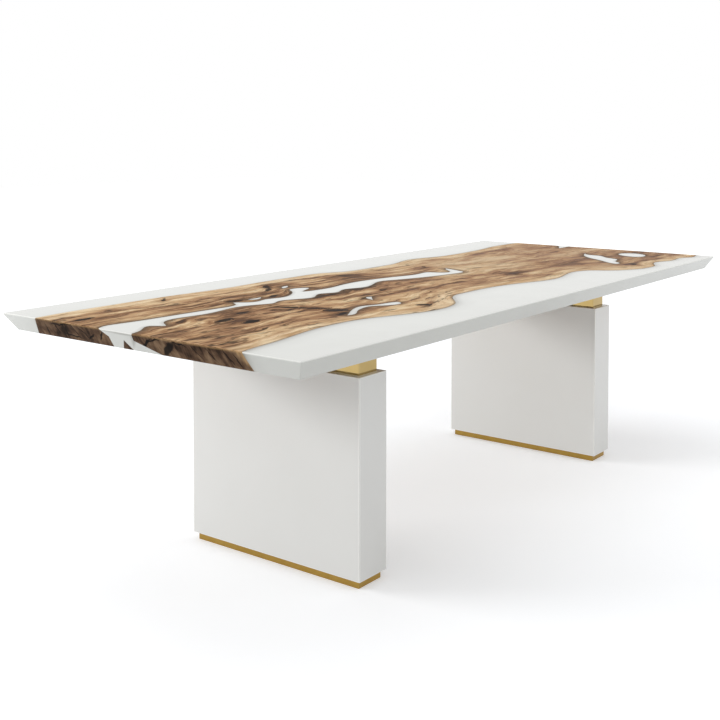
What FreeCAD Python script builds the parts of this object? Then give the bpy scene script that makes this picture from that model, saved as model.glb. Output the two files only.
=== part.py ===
import FreeCAD, Part
import os
import re
import Sketcher

# A dining table: a forked walnut slab cast in white resin, on two lacquered slab pedestals
# with a brass neck above and a brass plinth below. x runs along the table, y from the front
# to the back and z up from the floor. Driving dimensions, in millimetres:
SIZES = {
    # table top, undercut on all four sides so that its upper face is the larger one
    "top_length": 2675,
    "top_width": 1125,
    "top_thickness": 50,
    "bevel_inset": 32,
    "arris_radius": 3,
    # walls of the slab: how far they have moved sideways at the waist and at the underside
    "waist_depth": 20,
    "edge_waist_lean": 8,
    "edge_foot_lean": 20,
    "back_bank_waist_lean": 36,
    "back_bank_foot_lean": 43,
    "front_bank_foot_lean": 95,
    # wedge of wood caught in the river at the left end
    "offcut_offset": 54,
    "offcut_width": 53,
    "offcut_height": 27,
    "offcut_length": 90,
    "offcut_ridge": 35,
    # steel channels let into the underside
    "stiffener_length": 640,
    "stiffener_width": 50,
    "stiffener_height": 25,
    "stiffener_wall": 4,
    "stiffener_screw_inset": 50,
    "stiffener_screw_inner": 190,
    # pedestals, boxes of mitred board
    "pedestal_spacing": 1500,
    "pedestal_depth": 128,
    "pedestal_width": 655,
    "pedestal_height": 575,
    "pedestal_arris": 2,
    "panel_thickness": 18,
    # folded brass neck between pedestal and top
    "neck_height": 112,
    "neck_side_inset": 22,
    "neck_end_inset": 19,
    "neck_wall": 2,
    "neck_fold": 1.2,
    # folded brass plinth
    "plinth_height": 23,
    "plinth_inset": 12.5,
    "plinth_wall": 2,
    "plinth_flange": 26,
    # steel frame inside each pedestal
    "post_depth": 40,
    "post_width": 80,
    "post_wall": 4,
    "post_offset": 67,
    "base_plate_thickness": 8,
    "plate_length": 660,
    "plate_width": 240,
    "plate_thickness": 8,
    "plate_corner": 12,
    "plate_screw_inset": 25,
    "plate_screw_end_inset": 60,
    # large machine screws through the mounting plates, and their threaded inserts
    "large_screw_radius": 4,
    "large_screw_length": 24,
    "large_head_radius": 7,
    "large_head_height": 4.4,
    "large_key_radius": 2.9,
    "large_insert_radius": 6,
    "large_insert_length": 20,
    # small machine screws through the stiffeners and base plates, and their inserts
    "small_screw_radius": 3,
    "small_screw_length": 16,
    "small_head_radius": 5.2,
    "small_head_height": 3.3,
    "small_key_radius": 2.3,
    "small_insert_radius": 4.5,
    "small_insert_length": 14,
    "base_screw_offset": 34,
    "base_screw_end_inset": 30,
    # levelling feet, wound fully in
    "foot_inset": 58,
    "foot_radius": 25,
    "foot_thickness": 5,
    "foot_rim": 3,
    "foot_crown_radius": 20,
    "foot_socket_depth": 3.4,
    "stud_radius": 6,
    "stud_rise": 22,
    "stud_collar_radius": 11,
    # clearances, and the overrun of every cut
    "seat_clearance": 0.3,
    "thread_clearance": 0.1,
    "fit_clearance": 0.5,
    "post_clearance": 1,
    "screw_clearance": 0.4,
    "stud_clearance": 3,
    "collar_clearance": 1.5,
    "overrun": 10,
}

# Outlines on the upper face: shares of the top's half length and half width
BACK_EDGE_SHARES = [
    (-1.03, 0.715), (-0.98, 0.733), (-0.90, 0.748), (-0.75, 0.75), (-0.60, 0.741), (-0.524, 0.723),
    (-0.45, 0.711), (-0.30, 0.723), (-0.15, 0.718), (-0.075, 0.702), (-0.015, 0.634), (0.037, 0.614),
    (0.15, 0.612), (0.225, 0.623), (0.30, 0.671), (0.337, 0.684), (0.375, 0.679), (0.449, 0.629),
    (0.50, 0.612), (0.60, 0.612), (0.75, 0.639), (0.824, 0.668), (0.90, 0.673), (1.03, 0.661),
]
FRONT_EDGE_SHARES = [
    (1.03, -0.868), (0.959, -0.885), (0.921, -0.884), (0.906, -0.863), (0.891, -0.845), (0.824, -0.852),
    (0.787, -0.841), (0.734, -0.80), (0.712, -0.805), (0.674, -0.845), (0.637, -0.882), (0.599, -0.882),
    (0.562, -0.871), (0.524, -0.837), (0.464, -0.727), (0.434, -0.629), (0.375, -0.579), (0.30, -0.607),
    (0.225, -0.639), (0.15, -0.616), (0.075, -0.561), (0, -0.523), (-0.075, -0.507), (-0.15, -0.507),
    (-0.202, -0.518), (-0.262, -0.605), (-0.30, -0.673), (-0.337, -0.705), (-0.39, -0.718),
    (-0.449, -0.70), (-0.524, -0.639), (-0.60, -0.579), (-0.674, -0.561), (-0.75, -0.57),
    (-0.90, -0.634), (-0.974, -0.657), (-1.03, -0.70),
]
# The river runs in from the left end along its back bank, round its tip and out along its front bank
BACK_BANK_SHARES = [
    (-1.03, 0.23), (-1, 0.246), (-0.981, 0.27), (-0.936, 0.268), (-0.824, 0.241), (-0.674, 0.214),
    (-0.637, 0.212), (-0.612, 0.245), (-0.599, 0.286), (-0.584, 0.25), (-0.551, 0.214), (-0.524, 0.229),
    (-0.476, 0.207), (-0.412, 0.257), (-0.382, 0.323), (-0.367, 0.368), (-0.333, 0.373), (-0.315, 0.334),
    (-0.345, 0.291), (-0.367, 0.268), (-0.30, 0.23), (-0.225, 0.252), (-0.15, 0.266), (-0.075, 0.246),
    (0, 0.207), (0.075, 0.175), (0.124, 0.172), (0.135, 0.112), (0.157, 0.068), (0.19, 0.12),
    (0.225, 0.191),
]
FRONT_BANK_SHARES = [
    (0.219, 0.15), (0.206, 0.07), (0.19, 0.004), (0.15, -0.002), (0.075, 0.03), (0, 0.08),
    (-0.075, 0.146), (-0.094, 0.162), (-0.15, 0.136), (-0.225, 0.089), (-0.285, 0.125), (-0.333, 0.086),
    (-0.375, 0.125), (-0.427, 0.07), (-0.524, 0.13), (-0.547, 0.107), (-0.577, 0.125), (-0.637, 0.17),
    (-0.749, 0.141), (-0.884, 0.096), (-0.899, 0.05), (-0.918, 0.10), (-0.963, 0.05), (-1, 0.016),
    (-1.03, -0.03),
]
# Holes in the slab: each has a back and a front curve that meet at its tips
POCKET_SHARES = [
    ([(-0.357, 0.44), (-0.343, 0.478), (-0.318, 0.487)],
     [(-0.318, 0.487), (-0.335, 0.452), (-0.357, 0.44)]),
    ([(-0.544, 0.308), (-0.523, 0.30), (-0.502, 0.303)],
     [(-0.502, 0.303), (-0.515, 0.277), (-0.535, 0.27), (-0.544, 0.308)]),
    ([(-0.375, -0.253), (-0.365, -0.196), (-0.354, -0.168), (-0.337, -0.176)],
     [(-0.337, -0.176), (-0.353, -0.205), (-0.375, -0.253)]),
    ([(-0.58, -0.452), (-0.536, -0.392), (-0.502, -0.352), (-0.462, -0.335), (-0.429, -0.364),
      (-0.385, -0.382), (-0.364, -0.40)],
     [(-0.364, -0.40), (-0.382, -0.448), (-0.42, -0.424), (-0.453, -0.374), (-0.49, -0.38),
      (-0.528, -0.42), (-0.552, -0.455), (-0.58, -0.452)]),
    ([(0.622, -0.615), (0.634, -0.555), (0.674, -0.446), (0.719, -0.304), (0.787, -0.182), (0.828, -0.152)],
     [(0.828, -0.152), (0.795, -0.235), (0.792, -0.308), (0.755, -0.40), (0.735, -0.50), (0.678, -0.552),
      (0.645, -0.618), (0.622, -0.615)]),
    ([(0.831, -0.545), (0.838, -0.45), (0.873, -0.37), (0.898, -0.372)],
     [(0.898, -0.372), (0.918, -0.482), (0.884, -0.572), (0.847, -0.58), (0.831, -0.545)]),
    ([(0.92, 0.185), (0.95, 0.222), (0.985, 0.265), (1.03, 0.285)],
     [(1.03, 0.20), (0.975, 0.185), (0.92, 0.185)]),
]
POCKET_TAPER_SHARE = 0.15
# The banks lean fully as far as the first place along the river and stand upright from the second on
BANK_LEAN_SHARES = (-0.85, -0.70)

# Heights of the seats in the stack
BOX_TOP = "(plinth_height + pedestal_height)"
UNDERSIDE = "(plinth_height + pedestal_height + neck_height)"
TABLE_TOP = "(plinth_height + pedestal_height + neck_height + top_thickness)"
BASE_TOP = "(plinth_height - plinth_wall)"
BASE_UNDERSIDE = "(plinth_height - plinth_wall - base_plate_thickness)"
# Places along the pedestal and the plate
FOOT_Y = "(pedestal_width / 2 - plinth_inset - foot_inset)"
POST_Y = "(pedestal_width / 2 - plinth_inset - foot_inset - post_offset)"
BASE_SCREW_Y = "(pedestal_width / 2 - plinth_inset - base_screw_end_inset)"
NECK_DEPTH = "(pedestal_depth - 2 * neck_side_inset)"
NECK_WIDTH = "(pedestal_width - 2 * neck_end_inset)"
PLINTH_DEPTH = "(pedestal_depth - 2 * plinth_inset)"
PLINTH_WIDTH = "(pedestal_width - 2 * plinth_inset)"

doc = FreeCAD.newDocument("ResinDiningTable")
sheet = doc.addObject("Spreadsheet::Sheet", "Sizes")
for row, (alias, number) in enumerate(SIZES.items(), start=1):
    sheet.set(f"A{row}", alias)
    sheet.set(f"B{row}", str(number))
    sheet.setAlias(f"B{row}", alias)
doc.recompute()
pieces = []


def cells(text):
    # a sum written in plain aliases, as an expression on the sheet
    return re.sub(r"[a-z_]+", lambda word: "Sizes." + word.group(0), text)


def value(text):
    return float(sheet.evalExpression(cells(text)))


def bind(thing, **sums):
    for name, text in sums.items():
        thing.setExpression(name, cells(text))


def place(thing, x="0", y="0", z="0"):
    for axis, text in zip("xyz", (x, y, z)):
        thing.setExpression(f"Placement.Base.{axis}", cells(text))
    return thing


def piece(thing, node):
    thing.Label = node
    pieces.append(thing)
    return thing


def box(name, sizes, x, y, z):
    # a box centred on x and y that stands on z
    block = doc.addObject("Part::Box", name)
    bind(block, Length=sizes[0], Width=sizes[1], Height=sizes[2])
    return place(block, f"{x} - {sizes[0]} / 2", f"{y} - {sizes[1]} / 2", z)


def cylinder(name, radius, height, x, y, z):
    rod = doc.addObject("Part::Cylinder", name)
    bind(rod, Radius=radius, Height=height)
    return place(rod, x, y, z)


def fuse(name, shapes):
    joined = doc.addObject("Part::MultiFuse", name)
    joined.Shapes = shapes
    return joined


def group(name, shapes):
    loose = doc.addObject("Part::Compound", name)
    loose.Links = shapes
    return loose


def cut(name, base, tool):
    rest = doc.addObject("Part::Cut", name)
    rest.Base = base
    rest.Tool = tool
    return rest


def common(name, base, tool):
    shared = doc.addObject("Part::Common", name)
    shared.Base = base
    shared.Tool = tool
    return shared


def copies(name, model, places):
    # linked copies of one model, as a group of separate solids
    links = []
    for x, y, z in places:
        link = doc.addObject("App::Link", name + "_copy")
        link.LinkedObject = model
        links.append(place(link, x, y, z))
    return group(name, links)


def attach(feature, body, role):
    plane = [plane for plane in body.Origin.OriginFeatures if plane.Role == role][0]
    feature.AttachmentSupport = [(plane, "")]
    feature.MapMode = "FlatFace"


def sketch_on(body, role, name, height="0"):
    sketch = body.newObject("Sketcher::SketchObject", name)
    attach(sketch, body, role)
    sketch.setExpression("AttachmentOffset.Base.z", cells(height))
    return sketch


def add_polygon(sketch, corners):
    # a closed outline whose corners are held from the sketch's origin by bound distances
    first = sketch.GeometryCount
    count = len(corners)
    points = [FreeCAD.Vector(value(across), value(up), 0) for across, up in corners]
    for index in range(count):
        sketch.addGeometry(Part.LineSegment(points[index], points[(index + 1) % count]))
    for index in range(count):
        following = first + (index + 1) % count
        sketch.addConstraint(Sketcher.Constraint("Coincident", first + index, 2, following, 1))
    for index, corner in enumerate(corners):
        for kind, text, axis in zip(("DistanceX", "DistanceY"), corner, (-2, -1)):
            if text == "0":
                sketch.addConstraint(Sketcher.Constraint("PointOnObject", first + index, 1, axis))
                continue
            held = Sketcher.Constraint(kind, -1, 1, first + index, 1, value(text))
            number = sketch.addConstraint(held)
            sketch.renameConstraint(number, f"{kind}{first + index}")
            sketch.setExpression(f"Constraints.{kind}{first + index}", cells(text))


def add_rectangle(sketch, across, up):
    sides = [("-", "-"), ("", "-"), ("", ""), ("-", "")]
    add_polygon(sketch, [(f"{a}{across} / 2", f"{b}{up} / 2") for a, b in sides])


def new_body(name):
    return doc.addObject("PartDesign::Body", name)


def pad(body, sketch, length):
    feature = body.newObject("PartDesign::Pad", sketch.Name + "_pad")
    feature.Profile = sketch
    feature.setExpression("Length", cells(length))
    return feature


def round_edges(body, feature, radius, wanted):
    # rounds the edges of a feature that the test picks out
    doc.recompute()
    names = [f"Edge{i}" for i, edge in enumerate(feature.Shape.Edges, start=1) if wanted(edge)]
    fillet = body.newObject("PartDesign::Fillet", feature.Name + "_round")
    fillet.Base = (feature, names)
    fillet.setExpression("Radius", cells(radius))
    return fillet


def is_upright(edge):
    return edge.BoundBox.ZLength > max(edge.BoundBox.XLength, edge.BoundBox.YLength)


def is_top_arris(edge):
    # the edges of the upper face and the slanted edges at the corners
    return edge.BoundBox.ZMax > value(f"{TABLE_TOP} - top_thickness / 2")


def turned(body, name, corners):
    # a solid of revolution about z from a half section of (radius, height) corners
    sketch = sketch_on(body, "XZ_Plane", name + "_section")
    add_polygon(sketch, corners)
    feature = body.newObject("PartDesign::Revolution", name + "_turn")
    feature.Profile = sketch
    feature.ReferenceAxis = (sketch, ["V_Axis"])
    return feature


def tube(name, outer, inner, height):
    # an upright tube of rectangular section, made as one extruded ring
    body = new_body(name)
    sketch = sketch_on(body, "XY_Plane", name + "_section")
    add_rectangle(sketch, *outer)
    add_rectangle(sketch, *inner)
    return body, pad(body, sketch, height)


def plate(name, across, along, thickness, corner):
    body = new_body(name)
    sketch = sketch_on(body, "XY_Plane", name + "_outline")
    add_rectangle(sketch, across, along)
    round_edges(body, pad(body, sketch, thickness), corner, is_upright)
    return body


# The slab and the resin

# how many steps of its outline each face of a wall spans
FACE_STEP_COUNT = 3


def chord_steps(points):
    # the curve's parameters follow its chords, and every level of one wall shares them
    steps = [0.0]
    for before, after in zip(points, points[1:]):
        steps.append(steps[-1] + (after - before).Length)
    return steps


def wall_wire(runs, steps):
    # smooth curves in turn, with a straight line wherever one doesn't end where the next one starts
    edges = []
    for points, parameters, following in zip(runs, steps, runs[1:] + runs[:1]):
        curve = Part.BSplineCurve()
        curve.interpolate(Points=points, Parameters=parameters)
        marks = parameters[:-1:FACE_STEP_COUNT] + parameters[-1:]
        edges += [curve.toShape(start, end) for start, end in zip(marks, marks[1:])]
        if points[-1] != following[0]:
            edges.append(Part.LineSegment(points[-1], following[0]).toShape())
    return Part.Wire(edges)


def leaning_solid(name, runs_at):
    # a solid between the outlines at the upper face, the waist and the underside, run past both faces
    depth = value("top_thickness")
    waist = value("waist_depth")
    past = value("overrun")
    top_runs, waist_runs, foot_runs = runs_at(0, 0), runs_at(1, 0), runs_at(0, 1)
    above = [extended(*pair, past / waist) for pair in zip(waist_runs, top_runs)]
    below = [extended(*pair, past / (depth - waist)) for pair in zip(waist_runs, foot_runs)]
    steps = [chord_steps(run) for run in top_runs]
    wires = []
    for level, runs in ((depth + past, below), (waist, waist_runs), (-past, above)):
        height = FreeCAD.Vector(0, 0, value(TABLE_TOP) - level)
        wires.append(wall_wire([[point + height for point in run] for run in runs], steps))
    solid = doc.addObject("Part::Feature", name)
    solid.Shape = Part.makeLoft(wires, True, True)
    return solid


def extended(start, end, reach):
    return [after + (after - before) * reach for before, after in zip(start, end)]


def on_top(shares, lean=lambda x_share: 0.0):
    half_length = value("top_length / 2")
    half_width = value("top_width / 2")
    return [FreeCAD.Vector(x * half_length, y * half_width + lean(x), 0) for x, y in shares]


def slab_runs(at_waist, at_foot):
    lean = at_waist * value("edge_waist_lean") + at_foot * value("edge_foot_lean")
    back = on_top(BACK_EDGE_SHARES, lambda x: lean)
    front = on_top(FRONT_EDGE_SHARES, lambda x: -lean)
    return [back, front]


def river_runs(at_waist, at_foot):
    leaning, upright = BANK_LEAN_SHARES
    back_lean = at_waist * value("back_bank_waist_lean") + at_foot * value("back_bank_foot_lean")
    front_lean = at_foot * value("front_bank_foot_lean")

    def taper(x):
        return min(1.0, max(0.0, (upright - x) / (upright - leaning)))

    back = on_top(BACK_BANK_SHARES, lambda x: -back_lean * taper(x))
    front = on_top(FRONT_BANK_SHARES, lambda x: -front_lean * taper(x))
    return [back, back[-1:] + front]


def pocket_runs(shares):
    def runs_at(at_waist, at_foot):
        outline = [on_top(run) for run in shares]
        middle = sum(outline[0], FreeCAD.Vector()) / len(outline[0])
        shrink = 1 - POCKET_TAPER_SHARE * (at_waist * value("waist_depth / top_thickness") + at_foot)
        return [[middle + (point - middle) * shrink for point in run] for run in outline]
    return runs_at


def top_blank():
    # the cast block: a larger upper face, a smaller underside and rounded arrises
    body = new_body("top_blank")
    block = body.newObject("PartDesign::AdditiveWedge", "undercut_block")
    attach(block, body, "XZ_Plane")
    block.setExpression("AttachmentOffset.Base.y", cells(UNDERSIDE))
    bind(block, Xmin="-top_length / 2 + bevel_inset", Xmax="top_length / 2 - bevel_inset",
         Zmin="-top_width / 2 + bevel_inset", Zmax="top_width / 2 - bevel_inset",
         X2min="-top_length / 2", X2max="top_length / 2", Z2min="-top_width / 2", Z2max="top_width / 2",
         Ymin="0", Ymax="top_thickness")
    round_edges(body, block, "arris_radius", is_top_arris)
    return body


STIFFENER_X = "((pedestal_spacing + plate_width + top_length) / 4)"
STIFFENERS = [("left", "-" + STIFFENER_X), ("middle", "0"), ("right", STIFFENER_X)]
PEDESTALS = [("left", "-pedestal_spacing / 2"), ("right", "pedestal_spacing / 2")]


def stiffener_screw_places(z):
    outer = "(stiffener_length / 2 - stiffener_screw_inset)"
    rows = [outer, "stiffener_screw_inner", "-stiffener_screw_inner", "-" + outer]
    return [(x, y, z) for _, x in STIFFENERS for y in rows]


def plate_screw_places(x, z):
    across = "(plate_width / 2 - plate_screw_inset)"
    along = "(plate_length / 2 - plate_screw_end_inset)"
    return [(f"{x} {side} {across}", y, z) for side in "+-" for y in ("-" + along, "0", along)]


def base_screw_places(x, z):
    rows = ("-" + BASE_SCREW_Y, "0", BASE_SCREW_Y)
    return [(f"{x} {side} base_screw_offset", y, z) for side in "+-" for y in rows]


def top_recesses():
    # grooves for the channels, seats for the mounting plates and holes for the inserts
    tools = []
    web = "(stiffener_wall + fit_clearance)"
    rib = "(stiffener_wall + 2 * fit_clearance)"
    long = "(stiffener_length + 2 * fit_clearance)"
    for side, x in STIFFENERS:
        low = f"{UNDERSIDE} - overrun"
        wide = "(stiffener_width + 2 * fit_clearance)"
        tools.append(box(f"{side}_web_groove", (wide, long, f"({web} + overrun)"), x, "0", low))
        for edge in "+-":
            middle = f"{x} {edge} (stiffener_width - stiffener_wall) / 2"
            tall = "(stiffener_height + fit_clearance + overrun)"
            tools.append(box(f"{side}_rib_groove", (rib, long, tall), middle, "0", low))
    for side, x in PEDESTALS:
        seat = plate(f"{side}_plate_seat", "(plate_width + 2 * fit_clearance)",
                     "(plate_length + 2 * fit_clearance)", "(plate_thickness + overrun)",
                     "plate_corner + fit_clearance")
        tools.append(place(seat, x, "0", f"{UNDERSIDE} - overrun"))
    for number, (x, y, z) in enumerate(stiffener_screw_places(UNDERSIDE)):
        bore = "small_insert_radius + thread_clearance"
        deep = f"({web} + small_insert_length + seat_clearance)"
        tools.append(cylinder(f"small_hole_{number}", bore, deep, x, y, z))
    for side, centre in PEDESTALS:
        for x, y, z in plate_screw_places(centre, UNDERSIDE):
            bore = "large_insert_radius + thread_clearance"
            deep = "(plate_thickness + large_insert_length + seat_clearance)"
            tools.append(cylinder(f"{side}_hole", bore, deep, x, y, z))
    return fuse("top_recesses", tools)


def offcut_wedge():
    # a ridge of wood with its highest end at the left end face
    wedge = doc.addObject("Part::Wedge", "offcut_wedge")
    bind(wedge, Xmin="-offcut_width / 2", Xmax="offcut_width / 2", X2min="0", X2max="0",
         Ymin="0", Ymax="offcut_height + overrun", Zmin="0", Zmax="offcut_length + overrun",
         Z2min="0", Z2max="offcut_ridge + overrun")
    wedge.Placement.Rotation = FreeCAD.Rotation(FreeCAD.Vector(1, 1, 1), 120)
    return place(wedge, "-top_length / 2 - overrun", "offcut_offset", f"{UNDERSIDE} - overrun")


def build_top():
    blank = cut("routed_blank", top_blank(), top_recesses())
    slab = leaning_solid("live_edges", slab_runs)
    river = leaning_solid("river_banks", river_runs)
    pockets = [leaning_solid(f"pocket_{number}", pocket_runs(shares))
               for number, shares in enumerate(POCKET_SHARES)]
    holes = fuse("slab_holes", [river] + pockets)
    wedge = offcut_wedge()
    piece(cut("walnut_slab", common("sawn_slab", blank, slab), holes), "walnut_slab")
    piece(common("walnut_offcut", blank, wedge), "walnut_offcut")
    piece(cut("resin_river", common("cast_river", blank, river), wedge), "resin_river")
    fills = [common(f"fill_{number}", blank, pocket) for number, pocket in enumerate(pockets)]
    piece(group("resin_pocket_fills", fills), "resin_pocket_fills")
    border = cut("cast_border", blank, slab)
    for side, sign in (("back", ""), ("front", "-")):
        half = box(f"{side}_half", ("(top_length + 2 * overrun)", "top_width", "2 * top_thickness"),
                   "0", f"{sign}top_width / 2", f"{TABLE_TOP} - 3 * top_thickness / 2")
        piece(common(f"resin_{side}_border", border, half), f"resin_{side}_border")


# Fasteners

def machine_screw(size):
    # a button head below, with a key socket, and a plain shank that runs up from z = 0
    body = new_body(f"{size}_screw")
    head = f"{size}_head_radius"
    down = f"-{size}_head_height"
    turned(body, f"{size}_screw", [
        ("0", down), (f"({head} / 2)", down), (head, f"{down} / 3"), (head, "0"),
        (f"{size}_screw_radius", "0"), (f"{size}_screw_radius", f"{size}_screw_length"),
        ("0", f"{size}_screw_length"),
    ])
    socket = doc.addObject("Part::Prism", f"{size}_socket")
    socket.Polygon = 6
    bind(socket, Circumradius=f"{size}_key_radius", Height=f"{size}_head_height / 2 + overrun")
    place(socket, z=f"{down} - overrun")
    return cut(f"{size}_socket_screw", body, socket)


def threaded_insert(size):
    body = new_body(f"{size}_insert")
    bore = f"({size}_screw_radius + thread_clearance)"
    turned(body, f"{size}_insert", [
        (bore, "0"), (f"{size}_insert_radius", "0"), (f"{size}_insert_radius", f"{size}_insert_length"),
        (bore, f"{size}_insert_length"),
    ])
    return body


def screw_holes(name, radius, places, depth):
    size = (f"{radius} + screw_clearance", f"{depth} + 2 * overrun")
    rods = [cylinder(name, *size, x, y, f"{z} - overrun") for x, y, z in places]
    return group(name + "_row", rods)


def build_stiffeners(screw, insert):
    for side, x in STIFFENERS:
        body = new_body(f"{side}_channel")
        half = "stiffener_width / 2"
        inner = "(stiffener_width / 2 - stiffener_wall)"
        section = sketch_on(body, "XZ_Plane", f"{side}_channel_section")
        add_polygon(section, [
            (f"-{half}", "0"), (half, "0"), (half, "stiffener_height"), (inner, "stiffener_height"),
            (inner, "stiffener_wall"), (f"-{inner}", "stiffener_wall"), (f"-{inner}", "stiffener_height"),
            (f"-{half}", "stiffener_height"),
        ])
        run = pad(body, section, "stiffener_length")
        run.Midplane = True
        place(body, x, "0", UNDERSIDE)
        rows = [spot for spot in stiffener_screw_places(UNDERSIDE) if spot[0] == x]
        holes = screw_holes(f"{side}_channel_hole", "small_screw_radius", rows, "stiffener_wall")
        piece(cut(f"{side}_stiffener_cut", body, holes), f"{side}_stiffener")
    piece(copies("stiffener_screws", screw, stiffener_screw_places(UNDERSIDE)), "stiffener_screws")
    seats = stiffener_screw_places(f"{UNDERSIDE} + stiffener_wall + fit_clearance")
    piece(copies("stiffener_inserts", insert, seats), "stiffener_inserts")


# Pedestals

def mitred_panel(name, block, half, tall, mitre_foot, turn, spot):
    # one board of the box: its sides lean in at the mitres as it goes inwards from its outer face
    wedge = doc.addObject("Part::Wedge", name + "_mitre")
    low, high = tall
    foot = f"{low} + panel_thickness" if mitre_foot else low
    bind(wedge, Xmin=f"-{half}", Xmax=half, Ymin="0", Ymax="panel_thickness", Zmin=low, Zmax=high,
         X2min=f"-{half} + panel_thickness", X2max=f"{half} - panel_thickness",
         Z2min=foot, Z2max=f"{high} - panel_thickness")
    wedge.Placement.Rotation = turn
    place(wedge, *spot)
    return common(name + "_board", block, wedge)


def build_box(side, x, left_face, right_face):
    block = new_body(f"{side}_block")
    sketch = sketch_on(block, "XY_Plane", f"{side}_block_plan")
    add_rectangle(sketch, "pedestal_depth", "pedestal_width")
    round_edges(block, pad(block, sketch, "pedestal_height"), "pedestal_arris", lambda edge: True)
    place(block, x, "0", "plinth_height")
    about_z = FreeCAD.Vector(0, 0, 1)
    walls = [
        ("front_end", "pedestal_depth / 2", 0, (x, "-pedestal_width / 2")),
        ("back_end", "pedestal_depth / 2", 180, (x, "pedestal_width / 2")),
        (left_face, "pedestal_width / 2", -90, (f"{x} - pedestal_depth / 2", "0")),
        (right_face, "pedestal_width / 2", 90, (f"{x} + pedestal_depth / 2", "0")),
    ]
    for face, half, angle, spot in walls:
        board = mitred_panel(f"{side}_{face}", block, half, ("0", "pedestal_height"), False,
                             FreeCAD.Rotation(about_z, angle), (*spot, "plinth_height"))
        piece(board, f"{side}_{face}_panel")
    ends = ("-pedestal_width / 2", "pedestal_width / 2")
    lid = mitred_panel(f"{side}_cap", block, "pedestal_depth / 2", ends, True,
                       FreeCAD.Rotation(FreeCAD.Vector(1, 0, 0), -90), (x, "0", BOX_TOP))
    piece(cut(f"{side}_cap_cut", lid, post_holes(f"{side}_cap", x, BOX_TOP)), f"{side}_cap_panel")


def post_holes(name, x, z):
    # openings that let both posts through a board
    sizes = ("(post_depth + 2 * post_clearance)", "(post_width + 2 * post_clearance)",
             "2 * panel_thickness + 2 * overrun")
    low = f"{z} - panel_thickness - overrun"
    rows = ("-" + POST_Y, POST_Y)
    return group(name + "_openings", [box(f"{name}_opening", sizes, x, y, low) for y in rows])


def build_floor(side, x, insert):
    board = box(f"{side}_floor", ("(pedestal_depth - 2 * panel_thickness)",
                                  "(pedestal_width - 2 * panel_thickness)", "panel_thickness"),
                x, "0", "plinth_height")
    holes = [post_holes(f"{side}_floor", x, "plinth_height")]
    deep = "(panel_thickness + 2 * overrun)"
    low = "plinth_height - overrun"
    holes += [cylinder(f"{side}_stud_hole", "stud_radius + stud_clearance", deep, x, y, low)
              for y in ("-" + FOOT_Y, FOOT_Y)]
    seats = base_screw_places(x, "plinth_height")
    holes += [cylinder(f"{side}_insert_hole", "small_insert_radius + thread_clearance",
                       "small_insert_length + seat_clearance", *seat) for seat in seats]
    piece(cut(f"{side}_floor_cut", board, fuse(f"{side}_floor_holes", holes)), f"{side}_floor_panel")
    piece(copies(f"{side}_floor_inserts", insert, seats), f"{side}_floor_inserts")


def build_plinth(side, x):
    hollow = (f"({PLINTH_DEPTH} - 2 * plinth_wall)", f"({PLINTH_WIDTH} - 2 * plinth_wall)")
    ring, _ = tube(f"{side}_plinth_ring", (PLINTH_DEPTH, PLINTH_WIDTH), hollow, "plinth_height")
    lip = sketch_on(ring, "XY_Plane", f"{side}_plinth_lip", BASE_TOP)
    add_rectangle(lip, PLINTH_DEPTH, PLINTH_WIDTH)
    reach = "2 * (plinth_wall + plinth_flange)"
    add_rectangle(lip, f"({PLINTH_DEPTH} - {reach})", f"({PLINTH_WIDTH} - {reach})")
    pad(ring, lip, "plinth_wall")
    place(ring, x)
    seats = base_screw_places(x, BASE_TOP)
    holes = screw_holes(f"{side}_flange_hole", "small_screw_radius", seats, "plinth_wall")
    piece(cut(f"{side}_plinth_cut", ring, holes), f"{side}_plinth")


def build_frame(side, x, small_screw, large_screw):
    inside = "2 * (plinth_wall + fit_clearance)"
    base = box(f"{side}_base", (f"({PLINTH_DEPTH} - {inside})", f"({PLINTH_WIDTH} - {inside})",
                                "base_plate_thickness"), x, "0", BASE_UNDERSIDE)
    seats = base_screw_places(x, BASE_UNDERSIDE)
    holes = [screw_holes(f"{side}_base_hole", "small_screw_radius", seats, "base_plate_thickness")]
    holes += [cylinder(f"{side}_stud_thread", "stud_radius + thread_clearance",
                       "base_plate_thickness + 2 * overrun", x, y, f"{BASE_UNDERSIDE} - overrun")
              for y in ("-" + FOOT_Y, FOOT_Y)]
    piece(cut(f"{side}_base_cut", base, fuse(f"{side}_base_holes", holes)), f"{side}_base_plate")
    piece(copies(f"{side}_base_screws", small_screw, seats), f"{side}_base_screws")
    for row, y in (("front", "-" + POST_Y), ("back", POST_Y)):
        post, _ = tube(f"{side}_{row}_tube", ("post_depth", "post_width"),
                       ("(post_depth - 2 * post_wall)", "(post_width - 2 * post_wall)"),
                       f"{UNDERSIDE} - {BASE_TOP}")
        piece(place(post, x, y, BASE_TOP), f"{side}_{row}_post")
    head = place(plate(f"{side}_head", "plate_width", "plate_length", "plate_thickness", "plate_corner"),
                 x, "0", UNDERSIDE)
    seats = plate_screw_places(x, UNDERSIDE)
    holes = screw_holes(f"{side}_plate_hole", "large_screw_radius", seats, "plate_thickness")
    piece(cut(f"{side}_head_cut", head, holes), f"{side}_mounting_plate")
    piece(copies(f"{side}_mounting_screws", large_screw, seats), f"{side}_mounting_screws")


def build_neck(side, x):
    hollow = (f"({NECK_DEPTH} - 2 * neck_wall)", f"({NECK_WIDTH} - 2 * neck_wall)")
    sleeve, ring = tube(f"{side}_sleeve", (NECK_DEPTH, NECK_WIDTH), hollow, "neck_height")
    reach = value(f"{NECK_WIDTH} / 2 - neck_wall / 2")

    def is_outer_fold(edge):
        return is_upright(edge) and abs(edge.BoundBox.Center.y) > reach

    round_edges(sleeve, ring, "neck_fold", is_outer_fold)
    piece(place(sleeve, x, "0", BOX_TOP), f"{side}_neck_sleeve")


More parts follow.
